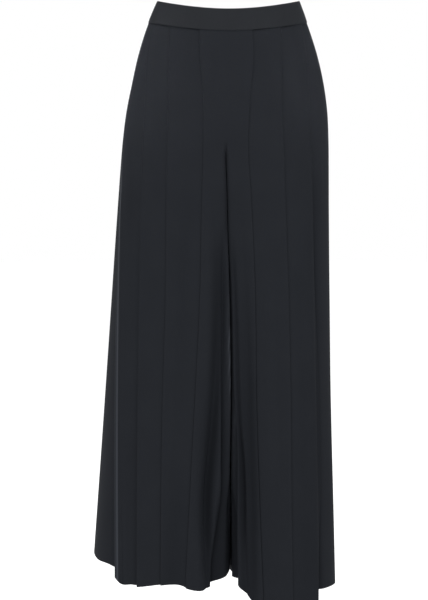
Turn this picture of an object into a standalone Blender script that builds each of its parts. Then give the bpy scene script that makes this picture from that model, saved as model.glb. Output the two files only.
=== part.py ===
"""High-waisted palazzo pants in a thin dark crepe, filled out and hanging as when they are worn.

The cloth is cut as a maker cuts it: two fronts and two backs, each running from the waistband to the
hem, a front waistband, two back waistbands and a concealed zip in the centre back seam.
Metres, +Z up. The front faces -Y, and the wearer's right leg is on the -X side.
The origin is the middle of the waist opening, half way down the waistband at the side seams.
"Drop" is always the distance straight down from the highest point of the waistband.
"""

import math

import bmesh
import bpy
import numpy as np
from mathutils import Matrix, Vector

# ---------------------------------------------------------------- driving dimensions
CLOTH = 0.0010          # wall of the legs
BAND_CLOTH = 0.0020     # wall of the waistband: cloth folded over its stiffening
SEAM_GAP = 0.0003       # between two pieces that are sewn together
WAIST_SEAM_GAP = 0.0012  # the legs start this far under the waistband, to clear their folded pleats
BAND_HEIGHT = 0.038     # waistband, measured down the side
FRONT_DIP = 0.0215      # how far the waist edge dips at the centre front
BACK_DIP = 0.0150       # and at the centre back
DIP_POWER = 1.5         # how quickly that dip comes in from the side seams
CROTCH_START = 0.243    # drop where the centre seams begin to curve in between the legs
CROTCH_DROP = 0.325     # drop of the crotch point
LEG_DROP = 1.040        # nominal drop of the hem
HEM_EASE_DROP = 0.60    # above this drop the uneven hem no longer tells

BAND_PROUD = 0.0008      # how far the waistband stands out over the cloth it is sewn to
BAND_FOOT_GAP = 0.0005   # its lower edge is lifted this much, as its wall leans out over the seam
BAND_TOP = BAND_HEIGHT / 2   # height of the waistband's highest point above the origin


def named(columns, rows):
    """A table as {column name: array}."""
    return dict(zip(columns, np.array(rows, float).T))


# Half sections of the garment. side_right and side_left are how far each silhouette stands out from
# the middle, front and back the depth of the cloth before and behind it, gap half the space between
# the legs. crest is where the cloth stands out farthest, as a share of the way from the middle to the
# side. outer_power is the section's power from the crest to the side (2 is an ellipse, more is flatter
# with a tighter side), inner_power its power from the crest to the inside of the leg, and fall how far
# the front falls back from the crest to the middle, as a share of its depth.
SECTIONS = named(
    ("drop", "side_right", "side_left", "front", "back",
     "gap", "crest", "outer_power", "inner_power", "fall"),
    [
        (0.000, 0.1290, 0.1275, 0.088, 0.088, 0.00015, 0.01, 2.25, 8.0, 0.000),
        (0.035, 0.1440, 0.1404, 0.097, 0.097, 0.00015, 0.01, 2.25, 8.0, 0.000),
        (0.100, 0.1650, 0.1617, 0.110, 0.112, 0.00015, 0.03, 2.25, 8.0, 0.000),
        (0.150, 0.1763, 0.1730, 0.116, 0.121, 0.00015, 0.07, 2.27, 8.0, 0.000),
        (0.200, 0.1864, 0.1798, 0.120, 0.126, 0.00015, 0.13, 2.30, 9.0, 0.000),
        (0.250, 0.1929, 0.1822, 0.123, 0.128, 0.00015, 0.20, 2.36, 12.0, 0.000),
        (0.300, 0.1973, 0.1829, 0.126, 0.129, 0.0003, 0.27, 2.45, 22.0, 0.030),
        (0.350, 0.2011, 0.1832, 0.129, 0.130, 0.0004, 0.33, 2.55, 28.0, 0.090),
        (0.450, 0.2085, 0.1837, 0.134, 0.133, 0.0006, 0.42, 2.70, 30.0, 0.145),
        (0.550, 0.2156, 0.1850, 0.138, 0.136, 0.0008, 0.47, 2.80, 28.0, 0.165),
        (0.700, 0.2265, 0.1873, 0.143, 0.141, 0.0012, 0.50, 2.90, 20.0, 0.175),
        (0.850, 0.2377, 0.1921, 0.149, 0.146, 0.0016, 0.51, 3.00, 11.0, 0.180),
        (1.000, 0.2490, 0.1966, 0.155, 0.151, 0.0026, 0.51, 3.00, 8.0, 0.180),
        (1.090, 0.2555, 0.1990, 0.159, 0.155, 0.0036, 0.51, 3.00, 8.0, 0.180),
    ],
)

# Below the crotch the insides of the legs nestle into each other: they share a wave across the gap.
NESTLE_WAVES = named(
    ("depth", "spread", "shift", "starts", "full"),
    [
        (0.030, 0.035, -0.009, 0.33, 0.70),
        (-0.060, 0.030, 0.004, 0.45, 0.90),
    ],
)
NESTLE_REACH = 0.045     # how far from the middle that wave dies out

# The line where the legs meet in front wanders a little to one side and back.
CENTRE_LINE = named(
    ("drop", "x"),
    [(0.20, 0.0), (0.25, -0.0050), (0.35, -0.0035), (0.45, -0.0008), (0.51, 0.0010), (0.60, 0.0024),
     (0.75, 0.0030), (0.85, 0.0018), (1.00, 0.0005), (1.09, 0.0)],
)
CENTRE_REACH = 0.030

# Rows of the cloth's grid, as nominal drops. They crowd where the legs part.
CLOTH_ROWS = (
    BAND_HEIGHT, 0.070, 0.115, 0.165, 0.205, CROTCH_START, 0.268, 0.288, 0.305, 0.317, CROTCH_DROP,
    0.350, 0.430, 0.530, 0.650, 0.760, 0.850, 0.940, LEG_DROP,
)

# Distance of each pleat's folded edge from the middle of the garment, seen from the front.
PLEATS_RIGHT = named(
    ("drop", "inner", "middle", "outer", "side"),
    [
        (0.04, 0.0535, 0.1060, 0.1370, 0.1450),
        (0.11, 0.0513, 0.1081, 0.1470, 0.1655),
        (0.18, 0.0460, 0.1081, 0.1500, 0.1800),
        (0.27, 0.0452, 0.1100, 0.1537, 0.1925),
        (0.36, 0.0478, 0.1109, 0.1565, 0.1974),
        (0.53, 0.0514, 0.1120, 0.1596, 0.2018),
        (0.71, 0.0603, 0.1175, 0.1618, 0.2039),
        (0.88, 0.0692, 0.1204, 0.1632, 0.2042),
        (1.05, 0.0775, 0.1216, 0.1637, 0.2036),
    ],
)
PLEATS_LEFT = named(
    ("drop", "inner", "middle", "outer", "side"),
    [
        (0.04, 0.0402, 0.0915, 0.1290, 0.1400),
        (0.11, 0.0428, 0.0936, 0.1392, 0.1610),
        (0.18, 0.0367, 0.0937, 0.1421, 0.1745),
        (0.27, 0.0350, 0.0965, 0.1468, 0.1800),
        (0.36, 0.0394, 0.0993, 0.1506, 0.1808),
        (0.53, 0.0457, 0.1049, 0.1574, 0.1825),
        (0.71, 0.0475, 0.1087, 0.1643, 0.1850),
        (0.88, 0.0530, 0.1107, 0.1672, 0.1890),
        (1.05, 0.0604, 0.1132, 0.1625, 0.1940),
    ],
)

# How each pleat is folded, at the waist and at the hem. tuck is the depth of cloth folded under the
# edge, step how far the panel beneath it lies under the edge, opens the drop where the pleat starts
# to open, hem_step how much lower its edge hangs than the cloth it covers.
PLEAT_COLUMNS = ("tuck_waist", "tuck_hem", "step_waist", "step_hem", "opens", "hem_step")
PLEAT_FOLDS = {
    "right": named(PLEAT_COLUMNS, [
        (0.004, 0.010, 0.0032, 0.0040, 0.15, 0.001),
        (0.004, 0.010, 0.0032, 0.0040, 0.15, 0.001),
        (0.004, 0.012, 0.0032, 0.0050, 0.15, 0.002),
        (0.004, 0.018, 0.0032, 0.0180, 0.25, 0.011),
    ]),
    "left": named(PLEAT_COLUMNS, [
        (0.004, 0.010, 0.0032, 0.0040, 0.15, 0.001),
        (0.004, 0.010, 0.0032, 0.0040, 0.15, 0.001),
        (0.004, 0.020, 0.0032, 0.0110, 0.10, 0.012),
        (0.004, 0.010, 0.0032, 0.0040, 0.30, 0.001),
    ]),
}
PLEAT_NAMES = ("inner", "middle", "outer", "side")
BACK_STEP_SHARE = 0.5    # the hidden back hangs in the same pleats, but its deep ones are shallower
FOLDED_WALL = 2 * CLOTH + 0.0007   # two layers of cloth and the air between them in a folded edge
TUCK_MARGIN = 0.003      # the cloth over a tuck runs straight until this far past it

# Soft folds between the pleats. at_top and at_hem are distances from the middle of the garment,
# rise is outwards, and a fold grows from the drop where it starts to its full size at the drop "full".
SOFT_FOLD_COLUMNS = ("at_top", "at_hem", "start", "full", "rise", "width")
SOFT_FOLDS = {
    ("right", "front"): named(SOFT_FOLD_COLUMNS, [
        (0.1400, 0.1420, 0.60, 1.04, 0.0030, 0.022),
        (0.0560, 0.0560, 0.80, 1.04, 0.0030, 0.012),
        (0.0950, 0.1000, 0.80, 1.04, -0.0045, 0.020),
    ]),
    ("left", "front"): named(SOFT_FOLD_COLUMNS, [
        (0.0700, 0.0800, 0.55, 1.04, 0.0030, 0.025),
        (0.1300, 0.1400, 0.55, 1.04, -0.0030, 0.022),
    ]),
    ("right", "back"): named(SOFT_FOLD_COLUMNS, [
        (0.0130, 0.0260, 0.38, 0.85, -0.0120, 0.013),
        (0.0900, 0.1000, 0.50, 1.04, 0.0040, 0.024),
        (0.1700, 0.1850, 0.45, 1.04, -0.0060, 0.024),
    ]),
    ("left", "back"): named(SOFT_FOLD_COLUMNS, [
        (0.0110, 0.0220, 0.38, 0.85, -0.0110, 0.012),
        (0.0800, 0.0850, 0.50, 1.04, 0.0040, 0.024),
        (0.1400, 0.1500, 0.45, 1.04, -0.0050, 0.022),
    ]),
}

# The stack of folds where the fronts of the legs meet. Each has its distance from the middle and its
# rise at a few drops, and one width.
INNER_FOLDS = {
    ("right", "front"): {
        "widths": (0.0105, 0.0080, 0.0170),
        "table": named(
            ("drop", "at_0", "rise_0", "at_1", "rise_1", "at_2", "rise_2"),
            [
                (0.40, 0.0150, 0.0, 0.0080, 0.0, 0.0080, 0.0),
                (0.50, 0.0170, -0.0030, 0.0080, -0.0020, 0.0080, 0.0),
                (0.60, 0.0200, -0.0070, 0.0080, -0.0040, 0.0080, 0.0),
                (0.70, 0.0245, -0.0120, 0.0086, -0.0055, 0.0080, 0.0),
                (0.76, 0.0300, -0.0160, 0.0100, -0.0070, 0.0080, 0.0),
                (0.82, 0.0345, -0.0170, 0.0105, -0.0085, 0.0080, 0.0),
                (0.87, 0.0375, -0.0170, 0.0105, -0.0090, 0.0080, -0.0010),
                (0.93, 0.0370, -0.0160, 0.0100, -0.0060, 0.0090, -0.0110),
                (1.00, 0.0350, -0.0150, 0.0095, -0.0020, 0.0110, -0.0220),
                (1.06, 0.0330, -0.0120, 0.0095, 0.0, 0.0120, -0.0240),
            ],
        ),
    },
    ("left", "front"): {
        "widths": (0.0070, 0.0080, 0.0130, 0.0170),
        "table": named(
            ("drop", "at_0", "rise_0", "at_1", "rise_1", "at_2", "rise_2", "at_3", "rise_3"),
            [
                (0.50, 0.0010, 0.0, 0.0060, 0.0, 0.0040, 0.0, 0.0230, 0.0),
                (0.60, 0.0010, 0.0, 0.0070, -0.0010, 0.0040, 0.0, 0.0240, -0.0010),
                (0.70, 0.0015, -0.0030, 0.0085, -0.0025, 0.0040, 0.0, 0.0260, -0.0030),
                (0.76, 0.0030, -0.0070, 0.0110, -0.0040, 0.0040, 0.0, 0.0280, -0.0045),
                (0.82, 0.0050, -0.0100, 0.0150, -0.0060, 0.0040, 0.0, 0.0300, -0.0055),
                (0.87, 0.0060, -0.0110, 0.0170, -0.0070, 0.0040, -0.0010, 0.0310, -0.0060),
                (0.93, 0.0065, -0.0080, 0.0190, -0.0070, 0.0040, -0.0100, 0.0320, -0.0060),
                (1.00, 0.0070, -0.0020, 0.0220, -0.0050, 0.0050, -0.0210, 0.0330, -0.0050),
                (1.06, 0.0070, 0.0, 0.0250, -0.0030, 0.0060, -0.0230, 0.0340, -0.0045),
            ],
        ),
    },
}

# The hem's drop around each leg: share 0 is the side seam, 1 the inside leg.
HEM_COLUMNS = ("share", "right", "left")
HEM = {
    "front": named(HEM_COLUMNS, [
        (0.00, 1.0135, 1.055),
        (0.15, 1.0160, 1.058),
        (0.29, 1.0120, 1.062),
        (0.33, 1.0290, 1.063),
        (0.40, 1.0370, 1.065),
        (0.54, 1.0365, 1.068),
        (0.58, 1.0390, 1.069),
        (0.61, 1.0450, 1.070),
        (0.64, 1.0480, 1.069),
        (0.67, 1.0490, 1.057),
        (0.70, 1.0480, 1.046),
        (0.74, 1.0440, 1.041),
        (0.78, 1.0360, 1.039),
        (1.00, 1.0400, 1.042),
    ]),
    "back": named(HEM_COLUMNS, [
        (0.00, 1.006, 1.055),
        (0.30, 1.026, 1.056),
        (0.60, 1.036, 1.055),
        (1.00, 1.044, 1.045),
    ]),
}

# Columns of the cloth's grid between one pleat and the next, from the inside leg to the side seam.
# In the first strip they crowd around the leg's inner corner, between the two CORNER_SHARES.
STRIP_COLUMNS = {"front": (17, 3, 3, 3, 4), "back": (10, 2, 2, 3, 4)}
CORNER_SHARES = (0.34, 0.75)
CORNER_REACH = 0.020

# Concealed zip in the centre back seam.
SLIDER_DROP = 0.0105        # from the waist edge at the centre back to the pull's axis
SLIDER_BODY = (0.0046, 0.0022, 0.0090)   # wide, deep, high
NECK_THICK = 0.0012
NECK_HEIGHT = 0.0036
NECK_REACH = 0.0018         # of the axis, out from the waistband
EYE_RADIUS = 0.0008
PULL_BAR_RADIUS = 0.00045
PULL_LENGTH = 0.018
PULL_THICK = 0.0010
PULL_TOP_WIDTH = 0.0044
PULL_FOOT_RADIUS = 0.0032


# ---------------------------------------------------------------- curves and sections
def along(table, column, value, key="drop"):
    """A smooth curve through one column of a table (cubic Hermite with averaged slopes)."""
    xs, ys = table[key], table[column]
    slopes = np.gradient(ys, xs)
    i = int(np.clip(np.searchsorted(xs, value) - 1, 0, len(xs) - 2))
    step = xs[i + 1] - xs[i]
    t = float(np.clip((value - xs[i]) / step, 0.0, 1.0))
    return float(
        (2 * t**3 - 3 * t**2 + 1) * ys[i]
        + (t**3 - 2 * t**2 + t) * step * slopes[i]
        + (3 * t**2 - 2 * t**3) * ys[i + 1]
        + (t**3 - t**2) * step * slopes[i + 1]
    )


def ease(value, start, end):
    """0 before start, 1 after end, smooth between."""
    t = float(np.clip((value - start) / (end - start), 0.0, 1.0))
    return t * t * (3 - 2 * t)


class HalfLoop:
    """The outer face of one leg's front or back at one drop, as distances s from its side.

    At the waist it is a quarter of an oval that ends at the centre seam. From CROTCH_START down the
    centre seam sinks in between the legs, in a quarter circle seen from the side, and from CROTCH_DROP
    down the loop is half of a leg's own oval.
    """

    def __init__(self, leg, face, drop):
        side = along(SECTIONS, "side_" + leg, drop)
        depth = along(SECTIONS, face, drop)
        gap = along(SECTIONS, "gap", drop)
        inner_power = along(SECTIONS, "inner_power", drop)
        outer_power = along(SECTIONS, "outer_power", drop)
        sunk = float(np.clip((drop - CROTCH_START) / (CROTCH_DROP - CROTCH_START), 0.001, 1.0))
        turned = (1 - (1 - sunk**2) ** (inner_power / 2)) ** (1 / inner_power)
        last = math.asin(min(turned ** (inner_power / 2), 1.0))
        flat = min(0.85, 0.6 * turned)       # how far in the nearly straight part is stepped evenly
        outer_angle = np.linspace(0.0, math.pi / 2, 90)
        inner_angle = np.linspace(math.asin(flat ** (inner_power / 2)), last, 120)
        steps = np.linspace(0.0, flat, 40)[1:-1]
        inner = np.concatenate([steps, np.sin(inner_angle) ** (2 / inner_power)])
        inner_depth = (1 - np.minimum(inner, 1.0) ** inner_power) ** (1 / inner_power)
        inner_depth[len(steps):] = np.maximum(np.cos(inner_angle), 0.0) ** (2 / inner_power)
        crest = gap + (side - gap) * along(SECTIONS, "crest", drop)
        outer_x = crest + (side - crest) * np.maximum(np.cos(outer_angle), 0.0) ** (2 / outer_power)
        fall = 1 - along(SECTIONS, "fall", drop) * (inner / turned) ** 2
        self.x = np.concatenate([outer_x, crest - (crest - gap) * inner / turned])
        self.y = -depth * np.concatenate([np.sin(outer_angle) ** (2 / outer_power), inner_depth * fall])
        if face == "back":
            self.y = -self.y
        self.s = np.concatenate([[0.0], np.cumsum(np.hypot(np.diff(self.x), np.diff(self.y)))])
        self.length = float(self.s[-1])
        corner = int(np.argmin(inner_depth > 0.9)) + len(outer_angle)
        self.s_corner = self.length if inner_depth[-1] > 0.9 else float(self.s[corner])
        self.gap = gap
        self.outward = -1.0 if face == "front" else 1.0

    def s_at_x(self, x):
        """Where the loop is at this distance from the middle of the garment."""
        return float(np.interp(-x, -self.x, self.s))

    def point(self, s, offset=0.0):
        """(x, y) at s, moved outwards by offset, with the leg taken as the one on +X."""
        s = float(np.clip(s, 0.0, self.length))
        reach = 0.004
        before, after = max(s - reach, 0.0), min(s + reach, self.length)
        dx = np.interp(after, self.s, self.x) - np.interp(before, self.s, self.x)
        dy = np.interp(after, self.s, self.y) - np.interp(before, self.s, self.y)
        run = math.hypot(dx, dy)
        normal = (-dy * self.outward / run, dx * self.outward / run)
        x = np.interp(s, self.s, self.x) - normal[0] * offset
        y = np.interp(s, self.s, self.y) - normal[1] * offset
        return max(float(x), self.gap), float(y)


def waist_dip(face, share):
    """Drop of the waist edge, share 0 at the side seam to 1 at the centre."""
    dip = FRONT_DIP if face == "front" else BACK_DIP
    return dip * math.sin(share * math.pi / 2) ** DIP_POWER


def leg_x(leg, x):
    """The wearer's right leg is on -X, the left on +X."""
    return -x if leg == "right" else x


def nestle(x, y, drop):
    """How far the legs' shared waves move the cloth along X: those between the legs, and the centre line."""
    shift = 0.0
    for i, size in enumerate(NESTLE_WAVES["shift"]):
        away = (y - NESTLE_WAVES["depth"][i]) / NESTLE_WAVES["spread"][i]
        grown = ease(drop, NESTLE_WAVES["starts"][i], NESTLE_WAVES["full"][i])
        shift += size * grown * math.exp(-away * away)
    wander = along(CENTRE_LINE, "x", drop) * ease(-y, 0.02, 0.09)
    return shift * math.exp(-((x / NESTLE_REACH) ** 2)) + wander * math.exp(-((x / CENTRE_REACH) ** 2))


# ---------------------------------------------------------------- the legs
def pleat_edge(leg, face, number, drop):
    """(position across, tuck, step) of one pleat at one drop."""
    table = PLEATS_RIGHT if leg == "right" else PLEATS_LEFT
    folds = PLEAT_FOLDS[leg]
    opened = ease(drop, folds["opens"][number], LEG_DROP)
    tuck = folds["tuck_waist"][number] * (1 - opened) + folds["tuck_hem"][number] * opened
    least, most = folds["step_waist"][number], folds["step_hem"][number]
    if face == "back":
        most = least + (most - least) * BACK_STEP_SHARE
    return along(table, PLEAT_NAMES[number], drop), tuck, least + (most - least) * opened


def soft_fold(leg, face, loop, s, drop):
    """How far the cloth swells out, or falls in, at s because of the soft folds."""
    folds = SOFT_FOLDS[(leg, face)]
    total = 0.0
    for i, rise in enumerate(folds["rise"]):
        share = np.clip((drop - folds["start"][i]) / (LEG_DROP - folds["start"][i]), 0.0, 1.0)
        at = folds["at_top"][i] * (1 - share) + folds["at_hem"][i] * share
        grown = ease(drop, folds["start"][i], folds["full"][i])
        away = (s - loop.s_at_x(at)) / folds["width"][i]
        total += rise * grown * math.exp(-away * away)
    stack = INNER_FOLDS.get((leg, face), {"widths": ()})
    for i, width in enumerate(stack["widths"]):
        away = (s - loop.s_at_x(along(stack["table"], f"at_{i}", drop))) / width
        total += along(stack["table"], f"rise_{i}", drop) * math.exp(-away * away)
    return total


def cloth_columns(face):
    """The grid's columns from the inside leg to the side seam, as (kind, number, share) triples.

    "tip" and "tuck" are the four corners of a pleat: its folded edge, the turn under it, and the cloth
    that it hides. A "strip" column is a share of the way from straight under one pleat's edge to
    just past the next one's tuck, so that layers that lie on each other run parallel.
    """
    columns = []
    for number, count in enumerate(STRIP_COLUMNS[face]):
        columns += [("strip", number, i / count) for i in range(count + 1)]
        if number < len(PLEAT_NAMES):
            columns += [("tip", number, 0), ("tip", number, 1), ("tuck", number, 0), ("tuck", number, 1)]
    return columns


def cloth_point(leg, face, column, nominal):
    """One vertex of a leg's front or back, on the outer face of the cloth."""
    kind, number, share = column
    is_corner = kind != "strip"

    def across(loop, drop):
        """(s, offset) of this column on a loop. Folded edges lie on the loop, the rest under it."""
        if is_corner:
            at, tuck, step = pleat_edge(leg, face, number, drop)
            if kind == "tip":
                return loop.s_at_x(at), -share * FOLDED_WALL
            return loop.s_at_x(at) + tuck, -FOLDED_WALL - share * (step - FOLDED_WALL)
        first_s, first_offset = loop.length - SEAM_GAP / 2, 0.0
        last_s = SEAM_GAP / 2
        if number > 0:
            at, _, step = pleat_edge(leg, face, number - 1, drop)
            first_s, first_offset = loop.s_at_x(at), -step
        if number < len(PLEAT_NAMES):
            at, tuck, _ = pleat_edge(leg, face, number, drop)
            last_s = loop.s_at_x(at) + tuck + TUCK_MARGIN
        if number > 0:
            return first_s + (last_s - first_s) * share, first_offset * (1 - ease(share, 0.0, 1.0))
        run = first_s - last_s
        shares = (0.0, 1 - CORNER_SHARES[1], 1 - CORNER_SHARES[0], 1.0)
        before = np.clip(loop.s_corner - CORNER_REACH, last_s + 0.10 * run, last_s + shares[1] * run)
        after = np.clip(loop.s_corner + CORNER_REACH, before + 0.25 * run, last_s + shares[2] * run)
        places = (last_s, float(before), float(after), first_s)
        return float(np.interp(1 - share, shares, places)), 0.0

    loop = HalfLoop(leg, face, nominal)
    s, _ = across(loop, nominal)
    share_round = s / loop.length
    drop = nominal
    if nominal < CROTCH_START:
        fade = (CROTCH_START - nominal) / (CROTCH_START - BAND_HEIGHT)
        drop = nominal + (waist_dip(face, share_round) + WAIST_SEAM_GAP) * fade
    elif nominal > HEM_EASE_DROP:
        fade = (nominal - HEM_EASE_DROP) / (LEG_DROP - HEM_EASE_DROP)
        hem = along(HEM[face], leg, share_round, key="share")
        if number < len(PLEAT_NAMES) and kind != "tuck":
            hem += PLEAT_FOLDS[leg]["hem_step"][number] * (1.0 if is_corner else ease(share, 0.2, 1.0))
        drop = nominal + (hem - LEG_DROP) * fade
    loop = HalfLoop(leg, face, drop)
    s, offset = across(loop, drop)
    offset += soft_fold(leg, face, loop, s, drop)
    x, y = loop.point(s, offset)
    across_garment = leg_x(leg, x)
    return Vector((across_garment + nestle(across_garment, y, drop), y, BAND_TOP - drop))


# ---------------------------------------------------------------- making objects
def material(name, colour, roughness, metallic=0.0):
    made = bpy.data.materials.new(name)
    made.use_nodes = True
    shader = made.node_tree.nodes["Principled BSDF"]
    shader.inputs["Base Color"].default_value = (*colour, 1.0)
    shader.inputs["Roughness"].default_value = roughness
    shader.inputs["Metallic"].default_value = metallic
    return made


def add_object(name, mesh, finish):
    made = bpy.data.objects.new(name, mesh)
    bpy.context.scene.collection.objects.link(made)
    mesh.materials.append(finish)
    return made


def cloth_sheet(name, points, finish, wall):
    """A sheet of cloth through rows of points, given its wall on the inside.

    The rows run across the piece, and the first two go around the body, so they tell which side is
    out. The sheet starts as a bmesh grid, whose corners are then moved.
    """
    rows, columns = len(points), len(points[0])
    grid = bmesh.new()
    bmesh.ops.create_grid(grid, x_segments=columns - 1, y_segments=rows - 1, size=0.5)
    grid.verts.ensure_lookup_table()
    for row in range(rows):
        for column in range(columns):
            grid.verts[row * columns + column].co = points[row][column]
    grid.normal_update()
    facing = sum(
        f.calc_area() * f.normal.dot(f.calc_center_median() * Vector((1, 1, 0)))
        for f in grid.faces if all(v.index < 2 * columns for v in f.verts)
    )
    if facing < 0:
        bmesh.ops.reverse_faces(grid, faces=grid.faces[:])
    mesh = bpy.data.meshes.new(name)
    grid.to_mesh(mesh)
    grid.free()
    mesh.shade_smooth()
    mesh.set_sharp_from_angle(angle=math.radians(40))
    made = add_object(name, mesh, finish)
    shell = made.modifiers.new("wall", "SOLIDIFY")
    shell.thickness = wall
    shell.offset = -1.0
    shell.use_even_offset = True
    shell.use_quality_normals = True
    return made


def leg_panel(leg, face, finish):
    columns = cloth_columns(face)
    points = [[cloth_point(leg, face, column, row) for column in columns] for row in CLOTH_ROWS]
    return cloth_sheet(f"{face}_leg_{leg}", points, finish, CLOTH)


def waistband(name, face, legs, finish):
    """A band of even height along the waist edge. The front one crosses the centre in one piece."""
    quarter = 18
    shares = [i / quarter for i in range(quarter + 1)]
    if len(legs) == 2:
        walk = [("right", share) for share in shares] + [("left", share) for share in shares[-2::-1]]
    else:
        walk = [(legs[0], share) for share in shares]
    points = []
    for down in (0.0, BAND_HEIGHT / 2, BAND_HEIGHT - BAND_FOOT_GAP):
        row = []
        for leg, share in walk:
            drop = down + waist_dip(face, share)
            loop = HalfLoop(leg, face, drop)
            end = loop.length - (0.0 if len(legs) == 2 else SEAM_GAP / 2)
            s = SEAM_GAP / 2 + (end - SEAM_GAP / 2) * share
            x, y = loop.point(s, BAND_PROUD)
            at_centre = len(legs) == 2 and share == 1.0
            row.append(Vector((0.0 if at_centre else leg_x(leg, x), y, BAND_TOP - drop)))
        points.append(row)
    return cloth_sheet(name, points, finish, BAND_CLOTH)


# ---------------------------------------------------------------- the concealed zip
def solid(name, shape, frame, finish):
    """An object from a bmesh that was shaped in the axes of a frame."""
    mesh = bpy.data.meshes.new(name)
    shape.to_mesh(mesh)
    shape.free()
    mesh.transform(frame)
    return add_object(name, mesh, finish)


def solid_box(name, frame, centre, size, finish):
    shape = bmesh.new()
    bmesh.ops.create_cube(shape, size=1.0)
    bmesh.ops.scale(shape, vec=size, verts=shape.verts)
    bmesh.ops.translate(shape, vec=centre, verts=shape.verts)
    return solid(name, shape, frame, finish)


def solid_rod(name, frame, centre, radius, length, finish):
    """A round bar along X."""
    shape = bmesh.new()
    bmesh.ops.create_cone(
        shape, cap_ends=True, segments=16, radius1=radius, radius2=radius, depth=length
    )
    bmesh.ops.rotate(shape, verts=shape.verts, matrix=Matrix.Rotation(math.pi / 2, 3, "Y"))
    bmesh.ops.translate(shape, vec=centre, verts=shape.verts)
    return solid(name, shape, frame, finish)


def helper(made):
    """Marks an object as a tool that shapes others and isn't part of the garment."""
    made.hide_render = True
    made.display_type = "WIRE"
    return made


def combine(target, other, operation):
    step = target.modifiers.new(operation.lower() + "_" + other.name, "BOOLEAN")
    step.operation = operation
    step.object = helper(other)


def back_seam_frame(drop):
    """Axes on the outer face of the waistband at the centre back: +Y straight out, +Z up the cloth."""
    low, high = HalfLoop("left", "back", drop + 0.008), HalfLoop("left", "back", drop)
    lean = math.atan2(low.y[-1] - high.y[-1], 0.008)
    at = Vector((0, high.y[-1] + BAND_PROUD, BAND_TOP - drop))
    return Matrix.Translation(at) @ Matrix.Rotation(lean, 4, "X")


def zip_slider(seam, finish):
    """The slider behind the seam, and the thin neck through the seam that carries the pull."""
    wide, deep, high = SLIDER_BODY
    body_y = -BAND_CLOTH - SEAM_GAP - deep / 2
    body = solid_box("zip_slider", seam, (0, body_y, 0), SLIDER_BODY, finish)
    reach = NECK_REACH + EYE_RADIUS + 0.0008 - body_y
    neck = solid_box(
        "slider_neck", seam, (0, body_y + reach / 2, 0), (NECK_THICK, reach, NECK_HEIGHT), finish
    )
    combine(body, neck, "UNION")
    eye = solid_rod("slider_eye", seam, (0, NECK_REACH, 0), EYE_RADIUS, 3 * NECK_THICK, finish)
    combine(body, eye, "DIFFERENCE")


def zip_pull(seam, finish):
    """The drop-shaped pull, lying along the cloth below its bar, which runs through the slider's eye."""
    hinge = seam @ Matrix.Translation((0, NECK_REACH, 0))
    half = PULL_TOP_WIDTH / 2
    foot_centre = PULL_LENGTH - PULL_FOOT_RADIUS
    arc = [math.radians(12 + 156 * i / 12) for i in range(13)]
    outline = [(-half, 0.0009), (-half, -0.0040)]
    outline += [
        (-PULL_FOOT_RADIUS * math.cos(a), -foot_centre - PULL_FOOT_RADIUS * math.sin(a)) for a in arc
    ]
    outline += [(half, -0.0040), (half, 0.0009)]
    shape = bmesh.new()
    face = shape.faces.new([shape.verts.new((x, -PULL_THICK / 2, z)) for x, z in outline])
    grown = bmesh.ops.extrude_face_region(shape, geom=[face])
    moved = [v for v in grown["geom"] if isinstance(v, bmesh.types.BMVert)]
    bmesh.ops.translate(shape, verts=moved, vec=(0, PULL_THICK, 0))
    bmesh.ops.recalc_face_normals(shape, faces=shape.faces)
    pull = solid("zip_pull", shape, hinge, finish)
    window = solid_box(
        "pull_window", hinge, (0, 0, -0.0007), (NECK_THICK + 2 * SEAM_GAP, 3 * PULL_THICK, 0.0046), finish
    )
    combine(pull, window, "DIFFERENCE")
    bar = solid_rod("pull_bar", hinge, (0, 0, 0), PULL_BAR_RADIUS, PULL_TOP_WIDTH - 0.0004, finish)
    combine(pull, bar, "UNION")


# ---------------------------------------------------------------- the garment
def build():
    for old in list(bpy.data.objects):
        bpy.data.objects.remove(old)
    crepe = material("charcoal_crepe", (0.021, 0.023, 0.028), 0.72)
    metal = material("black_zip_metal", (0.020, 0.021, 0.024), 0.38, 0.8)

    for leg in ("right", "left"):
        for face in ("front", "back"):
            leg_panel(leg, face, crepe)
    waistband("waistband_front", "front", ("right", "left"), crepe)
    back_bands = [
        waistband("waistband_back_" + leg, "back", (leg,), crepe) for leg in ("right", "left")
    ]

    seam = back_seam_frame(BACK_DIP + SLIDER_DROP)
    notch_size = (NECK_THICK + 2 * SEAM_GAP, 0.012, NECK_HEIGHT + 2 * SEAM_GAP)
    notch = solid_box("seam_notch", seam, (0, 0, 0), notch_size, crepe)
    for band in back_bands:
        combine(band, notch, "DIFFERENCE")
    zip_slider(seam, metal)
    zip_pull(seam, metal)


build()
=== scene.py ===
# %% [markdown]
# # High-waisted palazzo pants in a thin dark crepe
# The real garment is four long panels of crepe, pressed into knife pleats and sewn to a narrow folded
# waistband. It hangs as if worn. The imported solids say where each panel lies, but their walls are a
# millimetre thick and their folds are few. This lesson dresses each panel with a thin shell that runs
# through the same sections, with rounded fold edges, the small creases of hanging crepe, and its grain.
# A cloth simulation could drape the panels too, but it would lose the pressed lines of the pleats, so
# the shells are worked out from the same tables as the solids, only much more finely.

import math

import bmesh
import bpy
import numpy as np
from mathutils import Matrix, Vector


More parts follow.
